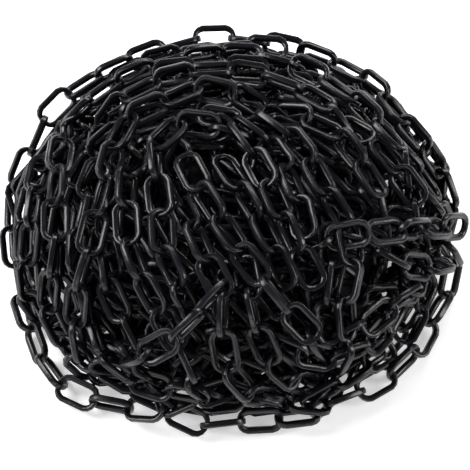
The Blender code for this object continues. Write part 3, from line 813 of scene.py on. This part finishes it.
@dataclass
class TracedRuns:
    """The runs that the picture shows and the back runs, settled exactly as the frame's solids were."""

    form: HeapForm
    sight: Sight
    link: LinkSolid
    layer_lifts: tuple = (0.0090, 0.0220)
    floor_lift: float = 0.0085
    back_points: int = 25
    easing: Easing = Easing()
    names: list = field(init=False)
    centres: np.ndarray = field(init=False)
    axes: np.ndarray = field(init=False)
    runs: np.ndarray = field(init=False)

    def settle(self) -> None:
        """Lay all runs and settle them above the dome."""
        laying = Laying(self.form, self.link)
        routes = {}
        for name, (layer, places) in PICTURE_RUNS.items():
            lift = self.layer_lifts[layer]
            routes[name] = [self.sight.seen_point(self.form, across, down, lift, self.floor_lift)
                            for across, down in places]
        for name, (height, start, end) in BACK_RUNS.items():
            turns = np.radians(np.linspace(start, end, self.back_points))
            routes[name] = self.form.level_arc(height, self.layer_lifts[0], turns)
        for number, route in enumerate(routes.values()):
            laying.lay(number, laying.joints(route))
        self.names = list(routes)
        settling = Settling(self.form, self.link, self.easing, *laying.arrays())
        settling.settle()
        self.centres, self.axes, self.runs = settling.centres, settling.axes, np.array(laying.runs)

    def lower(self, shift: np.ndarray) -> None:
        """Move each run to where the frame's solid of its name was seated.

        The move is the mean difference between the corners of the solid's box and the corners of the
        box of the run's own solid links.

        Args:
            shift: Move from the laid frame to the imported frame.
        """
        for number, name in enumerate(self.names):
            chosen = self.runs == number
            laid = self.link.box(self.centres[chosen], self.axes[chosen], BarSection.SQUARE)
            self.centres[chosen] += (np.array(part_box(name)) - laid).mean(axis=0) - shift

    def build(self, dressing: ChainDressing) -> None:
        """One piece for each run, in place of the frame's solid of that name.

        Args:
            dressing: How the links are shown.
        """
        for number, name in enumerate(self.names):
            chosen = self.runs == number
            centres = self.centres[chosen] + dressing.shift
            piece = dressing.add_piece(name + "_links", centres, self.axes[chosen])
            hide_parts(name)


@dataclass(frozen=True)
class StrandLayer:
    """One layer of strands: how deep, how dense, how long and which way they lie."""

    name: str
    lift: float
    spacing: float
    closest: float
    shortest: float
    foot_height: float
    turn: float
    wander: float
    phase: float = 0.0


INNER_LAYER = StrandLayer("inner_strands", lift=-0.0090, spacing=0.0280, closest=0.0265, shortest=0.060,
                          foot_height=0.0115, turn=0.12, wander=0.50)
SURFACE_LAYER = StrandLayer("surface_strands", lift=0.0055, spacing=0.0170, closest=0.0125, shortest=0.060,
                            foot_height=0.0220, turn=0.0, wander=0.60, phase=0.3)
DEEP_LAYER = StrandLayer("deep_strands", lift=-0.0200, spacing=0.0180, closest=0.0140, shortest=0.090,
                         foot_height=0.0080, turn=0.9, wander=0.70, phase=-0.7)
DEEPEST_LAYER = StrandLayer("deepest_strands", lift=-0.0330, spacing=0.0185, closest=0.0145, shortest=0.090,
                            foot_height=0.0080, turn=-0.4, wander=0.70, phase=1.9)


@dataclass
class StrandField:
    """Evenly spaced strands of one layer, which follow the runs' direction more or less closely."""

    form: HeapForm
    layer: StrandLayer
    centres: np.ndarray
    along: np.ndarray
    taken: np.ndarray
    routes: list = field(default_factory=list)
    blend_radius: float = 0.028
    wave: float = 0.055
    step: float = 0.006
    steps: int = 120
    seeds: int = 900
    seed_order: int = 5
    own_points: int = 12
    wave_mix: tuple = ((1.0, 0.6), (-0.7, 1.0), (0.5, -0.8))
    least_weight: float = 1e-12

    def direction(self, point: np.ndarray) -> np.ndarray:
        """Way that a strand lies at a point.

        It is the main axis of the nearby links' directions, summed as t times t transposed with weights
        exp(-d * d / (2 r * r)), laid flat on the dome and turned by the layer's angle plus a slow wave.

        Args:
            point: Place on the dome.

        Returns:
            A unit vector along the dome.
        """
        away = ((self.centres - point) ** 2).sum(axis=1)
        near = np.exp(-away / (2 * self.blend_radius ** 2)) + self.least_weight
        _, vectors = np.linalg.eigh(np.einsum("n,ni,nj->ij", near, self.along, self.along))
        out = self.form.outward(point)
        flat = vectors[:, 2] - out * (vectors[:, 2] @ out)
        flat /= np.linalg.norm(flat)
        wave = np.sin(point @ np.array(self.wave_mix) / self.wave + self.layer.phase).sum()
        angle = self.layer.turn + self.layer.wander * wave / 2
        return flat * math.cos(angle) + np.cross(out, flat) * math.sin(angle)

    def crowded(self, place: np.ndarray, own: list, gap: float) -> bool:
        """True if a place is nearer than the gap to a strand, or to an older stretch of its own.

        Args:
            place: The place.
            own: Points of the strand so far.
            gap: Least distance.

        Returns:
            Whether the place is crowded.
        """
        older = own[:-self.own_points]
        others = np.vstack((self.taken, older)) if older else self.taken
        return bool(((others - place) ** 2).sum(axis=1).min() < gap ** 2)

    def trace(self, seed: np.ndarray) -> list:
        """Follow the direction both ways from a seed until the strand meets the foot or another strand.

        Args:
            seed: Start on the lifted dome.

        Returns:
            Points along the strand.
        """
        sides = []
        for sense in (1, -1):
            points = []
            place = seed
            heading = self.direction(seed) * sense
            for _ in range(self.steps):
                place = self.form.onto(place + heading * self.step, self.layer.lift)
                if place[2] < self.layer.foot_height or self.crowded(place, points, self.layer.closest):
                    break
                turned = self.direction(place)
                heading = turned if turned @ heading > 0 else -turned
                points.append(place)
            sides.append(points)
        return sides[1][::-1] + [seed] + sides[0]

    def fill(self) -> None:
        """Trace strands from seeds that are spread over the dome by the golden angle."""
        order = np.arange(self.seeds) + 0.5
        turn = order * math.pi * (3 - math.sqrt(5))
        height = order / self.seeds
        plan = np.sqrt(1 - height ** 2)
        spread = np.stack((plan * np.cos(turn), plan * np.sin(turn), height), axis=1)
        places = spread * np.array(self.form.half) + np.array(self.form.centre)
        for number in np.random.default_rng(self.seed_order).permutation(self.seeds):
            seed = self.form.onto(places[number], self.layer.lift)
            if seed[2] < self.layer.foot_height or self.crowded(seed, [], self.layer.spacing):
                continue
            points = self.trace(seed)
            if len(points) * self.step > self.layer.shortest:
                self.routes.append(np.array(points))
                self.taken = np.vstack((self.taken, points))


@dataclass
class InnerStrands:
    """The strands round the frame's core, whose ends dive into its dome, settled as its solid has them."""

    form: HeapForm
    link: LinkSolid
    runs: TracedRuns
    foot_points: int = 200
    drift: float = math.radians(8)
    dive_ahead: tuple = (0.006, 0.011, 0.014)
    dive_down: tuple = (0.003, 0.010, 0.020)
    easing: Easing = Easing(side=-1, seat_gap=0.0001)
    centres: np.ndarray = field(init=False)
    axes: np.ndarray = field(init=False)

    def dived(self, route: np.ndarray) -> np.ndarray:
        """Give a strand two ends that dive into the dome: each on by dive_ahead and down by dive_down.

        Args:
            route: Points along the strand.

        Returns:
            The points with those of both ends.
        """
        ends = []
        for last, before in ((route[0], route[2]), (route[-1], route[-3])):
            ahead = (last - before) / np.linalg.norm(last - before)
            down = -self.form.outward(last)
            dive = last + np.outer(self.dive_ahead, ahead) + np.outer(self.dive_down, down)
            dive[:, 2] = np.maximum(dive[:, 2], INNER_LAYER.foot_height)
            ends.append(dive)
        return np.vstack((ends[0][::-1], route, ends[1]))

    def settle(self) -> None:
        """Trace the strands below the settled runs, lay them and settle them below the dome."""
        turns = np.linspace(0, 2 * math.pi, self.foot_points)
        foot = self.form.level_arc(INNER_LAYER.foot_height, INNER_LAYER.lift, turns)
        along = self.runs.axes[:, :, 0]
        strands = StrandField(self.form, INNER_LAYER, self.runs.centres, along, foot, [foot])
        strands.fill()
        laying = Laying(self.form, self.link, drift=self.drift)
        for number, route in enumerate(strands.routes):
            laying.lay(number, laying.joints(self.dived(route)))
        settling = Settling(self.form, self.link, self.easing, *laying.arrays())
        settling.settle()
        self.centres, self.axes = settling.centres, settling.axes

    def shift(self) -> np.ndarray:
        """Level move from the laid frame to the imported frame, read from the core's box."""
        laid = self.link.box(self.centres, self.axes, BarSection.WEDGE)
        return (np.array(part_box("core")) - laid).mean(axis=0) * (1.0, 1.0, 0.0)

    def build(self, dressing: ChainDressing) -> None:
        """One piece for all inner strands, in place of the frame's core.

        Args:
            dressing: How the links are shown.
        """
        piece = dressing.add_piece(INNER_LAYER.name, self.centres + dressing.shift, self.axes)
        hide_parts("core")


@dataclass
class FillStrands:
    """Further strands between and below the runs and the inner strands, and tails that end the runs."""

    form: HeapForm
    link: LinkSolid
    runs: TracedRuns
    inner: InnerStrands
    run_gap: float = 0.0160
    run_share: float = 0.8
    foot_points: int = 260
    foot_waves: tuple = ((0.006, 7, 60), (0.005, 17, 90))
    foot_bob: tuple = (0.25, 11)
    foot_strands: tuple = ((SURFACE_LAYER, 0.0260, 0.0010), (DEEP_LAYER, 0.0100, -0.0290))
    bridged: tuple = ((("outline_run", slice(5, None, -1)), ("left_edge_run", slice(0, 4))),
                      (("outline_run", slice(9, 17)),))
    bridged_depth: float = 0.0050
    bridged_drop: float = 0.0150
    roll: float = math.radians(42)
    roll_wander: float = math.radians(20)
    tail_links: int = 3
    tail_dip: float = 0.40
    tail_dip_start: float = 1.4
    smooth_points: int = 241
    floor_lift: float = 0.0080
    far_off: tuple = (9.0, 9.0, 9.0)
    open_ends: tuple = (("right_spur", 1),)
    easing: Easing = Easing(clearance=0.0031, bar_points=20, rounds=150, pressed_rounds=110, press=0.00010,
                            hold=0.012, turn_hold=0.12, loose_turn_hold=0.04, support_lift=-0.045,
                            pairing_rounds=6)
    layers: list = field(default_factory=list)

    def foot_stretches(self, layer: StrandLayer) -> list:
        """Stretches of level strand round the foot, cut where a run already lies.

        A foot strand is the lifted dome's plan at its height, with slow waves round it and up and down.

        Args:
            layer: The layer that the strands belong to.

        Returns:
            Points of each stretch.
        """
        stretches = []
        turns = np.linspace(0, 2 * math.pi, self.foot_points)
        middle = np.array(self.form.centre)
        for _, height, lift in [foot for foot in self.foot_strands if foot[0] is layer]:
            wave = 1.0
            for size, count, lean in self.foot_waves:
                wave = wave + size * np.sin(count * turns + lean * lift)
            points = (self.form.level_arc(height, lift, turns) - middle) * wave[:, None] + middle
            points[:, 2] = height * (1 + self.foot_bob[0] * np.sin(self.foot_bob[1] * turns))
            away = np.linalg.norm(points[:, None] - self.runs.centres[None], axis=2).min(axis=1)
            clear = away > self.run_gap * self.run_share
            start = int(np.argmin(clear))
            points, clear = np.roll(points, -start, axis=0), np.roll(clear, -start)
            breaks = np.flatnonzero(np.diff(np.concatenate(([False], clear, [False])).astype(int)))
            for first, last in breaks.reshape(-1, 2):
                length = np.linalg.norm(np.diff(points[first:last], axis=0), axis=1).sum()
                if length > layer.shortest:
                    stretches.append(points[first:last])
        return stretches

    def bridged_strands(self) -> list:
        """Strands where runs bridge a dip at the heap's edges: the runs' centres moved inward and down.

        Each strand follows the stretches named in bridged, a run and a slice of its links each.

        Returns:
            Points of each strand.
        """
        strands = []
        for stretches in self.bridged:
            route = np.vstack([self.runs.centres[self.runs.runs == self.runs.names.index(name)][part]
                               for name, part in stretches])
            route -= self.form.outward(route) * self.bridged_depth
            route[:, 2] = np.maximum(route[:, 2] - self.bridged_drop, self.floor_lift)
            strands.append(route)
        return strands

    def traced(self, layer: StrandLayer) -> list:
        """Routes of one layer's strands.

        Where nothing is taken yet, one place far off stands in, so that a gap can always be measured.

        Args:
            layer: The layer; the surface one also keeps clear of the runs.

        Returns:
            Points of each strand.
        """
        feet, passed = self.foot_stretches(layer), []
        if layer is SURFACE_LAYER:
            feet += self.bridged_strands()
            ends = self.runs.axes[:, :, 0] * self.link.joint_half() * self.run_share
            passed = [self.runs.centres, self.runs.centres + ends, self.runs.centres - ends]
        taken = np.vstack([*feet, *passed] or [self.far_off])
        strands = StrandField(self.form, layer, self.runs.centres, self.runs.axes[:, :, 0], taken, feet)
        strands.fill()
        return strands.routes

    def tails(self) -> list:
        """Continue each run at both ends, so that it dips under its neighbours.

        A tail's joints go on along the run's end, each lower than the last by a growing dip.

        Returns:
            For each tail, its joint points and the run's end link.
        """
        tails = []
        pitch = 2 * self.link.joint_half()
        for number, name in enumerate(self.runs.names):
            chosen = np.flatnonzero(self.runs.runs == number)
            for index, sense in ((chosen[0], -1), (chosen[-1], 1)):
                if (name, sense) in self.open_ends:
                    continue
                heading = self.runs.axes[index][:, 0] * sense
                joints = [self.runs.centres[index] + heading * self.link.joint_half()]
                for count in range(self.tail_links):
                    out = self.form.outward(joints[-1])
                    flat = heading - out * (heading @ out)
                    dip = out * self.tail_dip * (count + self.tail_dip_start)
                    heading = flat / np.linalg.norm(flat) - dip
                    heading /= np.linalg.norm(heading)
                    ahead = joints[-1] + heading * pitch
                    ahead[2] = max(ahead[2], self.floor_lift)
                    joints.append(ahead)
                tails.append((np.array(joints), index))
        return tails

    def settle(self) -> None:
        """Lay tails and strands and settle them against the runs and inner strands, which stay."""
        laying = Laying(self.form, self.link, self.roll, self.roll_wander, smooth_points=self.smooth_points)
        names, ends = [], []
        for joints, index in self.tails():
            ends.append((index, len(laying.runs)))
            laying.lay(len(names), joints)
            names.append("run_tails")
        for layer in (SURFACE_LAYER, DEEP_LAYER, DEEPEST_LAYER):
            for route in self.traced(layer):
                laying.lay(len(names), laying.joints(route))
                names.append(layer.name)
        laid_centres, laid_axes, laid_runs = laying.arrays()
        centres = np.vstack((self.runs.centres, self.inner.centres, laid_centres))
        axes = np.concatenate((self.runs.axes, self.inner.axes, laid_axes))
        still = len(centres) - len(laid_centres)
        labels = np.concatenate((np.full(still, -1), laid_runs))
        settling = Settling(self.form, self.link, self.easing, centres, axes, labels, labels < 0)
        for index, first in ends:
            settling.unjoined[index, still + first] = settling.unjoined[still + first, index] = False
        settling.settle()
        for name in dict.fromkeys(names):
            chosen = np.flatnonzero(np.isin(labels, np.flatnonzero(np.array(names) == name)))
            self.layers.append((name, settling.centres[chosen], settling.axes[chosen]))

    def build(self, dressing: ChainDressing, box: np.ndarray) -> None:
        """One piece for each layer, and one for the tails, in place of the frame's core.

        Args:
            dressing: How the links are shown.
            box: Lowest and highest corner that a link may reach.
        """
        base = dressing.shape.surface()[0]
        for name, centres, axes in self.layers:
            centres = centres + dressing.shift
            places = np.einsum("nij,kj->nki", axes, base) + centres[:, None]
            back = np.maximum(box[0] - places.min(axis=1), 0) + np.minimum(box[1] - places.max(axis=1), 0)
            piece = dressing.add_piece(name, centres + back, axes)
            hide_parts("core")


@dataclass
class HiddenHeart:
    """Dark lumpy dome deep inside the heap, which stands for the chain that no view reaches."""

    form: HeapForm
    lift: float = -0.045
    sides: int = 96
    rings: int = 30
    lump: float = 0.0022
    lumps_round: tuple = (22, 9)
    lumps_up: tuple = (26, 3)

    def build(self, finish: bpy.types.Material, shift: np.ndarray) -> None:
        """Dome on a grid of turn and rise, closed below by one flat face, in place of the frame's core.

        With a from 0 to a quarter turn, plan = cos(a) ** (2 / s) and height = sin(a) ** (2 / s), and
        lumps are added as a product of sines.

        Args:
            finish: The material.
            shift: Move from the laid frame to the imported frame.
        """
        half = np.array(self.form.half) + self.lift
        rise, turn = np.meshgrid(np.linspace(0, math.pi / 2, self.rings + 1)[:-1],
                                 np.arange(self.sides) * 2 * math.pi / self.sides, indexing="ij")
        power = 2 / self.form.squareness
        lumps = self.lump * np.sin(turn * self.lumps_round[0] + rise * self.lumps_round[1])
        lumps = lumps * np.sin(rise * self.lumps_up[0] + turn * self.lumps_up[1]) * np.sin(rise * 2)
        plan, height = np.cos(rise) ** power, np.sin(rise) ** power
        across = plan * np.cos(turn) * (half[0] + lumps)
        back = plan * np.sin(turn) * (half[1] + lumps)
        points = np.stack((across, back, height * (half[2] + lumps)), axis=-1).reshape(-1, 3)
        points = np.vstack((points, (0, 0, half[2]))) + np.array(self.form.centre) + shift
        i, j = np.meshgrid(np.arange(self.rings - 1), np.arange(self.sides), indexing="ij")
        after = (j + 1) % self.sides
        quads = np.stack((i * self.sides + j, i * self.sides + after, (i + 1) * self.sides + after,
                          (i + 1) * self.sides + j), axis=-1).reshape(-1, 4).tolist()
        last = np.arange(self.sides) + (self.rings - 1) * self.sides
        quads += np.stack((last, np.roll(last, -1), np.full(self.sides, len(points) - 1)), axis=1).tolist()
        quads.append(list(range(self.sides))[::-1])
        mesh = bpy.data.meshes.new("hidden_heart")
        mesh.from_pydata(points, [], quads)
        mesh.polygons.foreach_set("use_smooth", np.ones(len(quads), bool))
        mesh.materials.append(finish)
        heart = add_object("hidden_heart", mesh)
        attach(heart, "root")
        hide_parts("core")
        LOG.info("hidden_heart: %d faces", len(quads))


@dataclass(frozen=True)
class Softbox:
    """One rectangular softbox: place, width and height, and power in watts."""

    name: str
    place: tuple
    size: tuple
    power: float


@dataclass
class Studio:
    """Plain pale floor and soft studio light."""

    floor_size: float = 6.0
    floor_tone: tuple = (0.93, 0.93, 0.93, 1.0)
    floor_glow: float = 0.45
    floor_roughness: float = 0.9
    sky_tone: tuple = (1.0, 1.0, 1.0, 1.0)
    sky_strength: float = 0.16
    aim: tuple = (0.0, 0.0, 0.05)
    softboxes: tuple = (
        Softbox("left_softbox", (-1.3, 0.1, 1.1), (0.9, 0.9), 29),
        Softbox("rear_softbox", (0.3, 1.4, 1.2), (1.6, 0.5), 24),
        Softbox("right_softbox", (1.4, -0.3, 0.8), (0.5, 0.9), 14),
        Softbox("front_softbox", (-0.5, -1.5, 0.6), (1.2, 0.4), 5))

    def add_floor(self) -> None:
        """Flat square floor that glows faintly: the glow is painted light, which lifts the floor's shadows
        round the heap towards white and lights the chain from below.
        """
        half = self.floor_size / 2
        mesh = bpy.data.meshes.new("studio_floor")
        corners = [(-half, -half, 0), (half, -half, 0), (half, half, 0), (-half, half, 0)]
        mesh.from_pydata(corners, [], [(0, 1, 2, 3)])
        material = bpy.data.materials.new("pale_floor")
        material.use_nodes = True
        shader = material.node_tree.nodes["Principled BSDF"]
        shader.inputs["Base Color"].default_value = self.floor_tone
        shader.inputs["Roughness"].default_value = self.floor_roughness
        # The floor's emission is painted light: it brightens the floor's shadows and lights the links from
        # below.
        shader.inputs["Emission Color"].default_value = self.floor_tone
        shader.inputs["Emission Strength"].default_value = self.floor_glow
        mesh.materials.append(material)
        floor = add_object("studio_floor", mesh)
        floor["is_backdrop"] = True

    def add_light(self, softbox: Softbox) -> None:
        """Light of a softbox, turned towards the heap.

        It tilts by a quarter turn plus atan2(rise, level distance) and turns by atan2(-across, back).

        Args:
            softbox: The softbox.
        """
        lamp = bpy.data.lights.new(softbox.name, "AREA")
        lamp.shape = "RECTANGLE"
        lamp.size, lamp.size_y = softbox.size
        lamp.energy = softbox.power
        light = add_object(softbox.name, lamp)
        light.location = softbox.place
        across, back, rise = np.array(self.aim) - np.array(softbox.place)
        tilt = math.atan2(rise, math.hypot(across, back))
        light.rotation_euler = (math.pi / 2 + tilt, 0, math.atan2(-across, back))

    def add_sky(self) -> None:
        """Even white surround."""
        world = bpy.data.worlds.new("studio_sky")
        world.use_nodes = True
        background = world.node_tree.nodes["Background"]
        background.inputs["Color"].default_value = self.sky_tone
        background.inputs["Strength"].default_value = self.sky_strength
        bpy.context.scene.world = world
        bpy.context.scene.view_settings.view_transform = "Standard"

    def build(self) -> None:
        """Floor, sky and softboxes."""
        self.add_floor()
        self.add_sky()
        for softbox in self.softboxes:
            self.add_light(softbox)


def main() -> None:
    """Build every sub-assembly in order."""
    logging.basicConfig(level=logging.INFO, format="%(message)s")
    cad_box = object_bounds()
    form, sight, link = HeapForm(), Sight(), LinkSolid()
    satin, dull = SATIN_BLACK.build(), DULL_BLACK.build()
    runs = TracedRuns(form, sight, link)
    runs.settle()
    inner = InnerStrands(form, link, runs)
    inner.settle()
    shift = inner.shift()
    runs.lower(shift)
    runs.build(ChainDressing(MouldedLink(path_points=16), satin, shift))
    dressing = ChainDressing(MouldedLink(), satin, shift)
    inner.build(dressing)
    strands = FillStrands(form, link, runs, inner)
    strands.settle()
    strands.build(dressing, np.array(cad_box))
    HiddenHeart(form).build(dull, shift)
    sight.add_camera(shift)
    Studio().build()


if __name__ == "__main__":
    main()
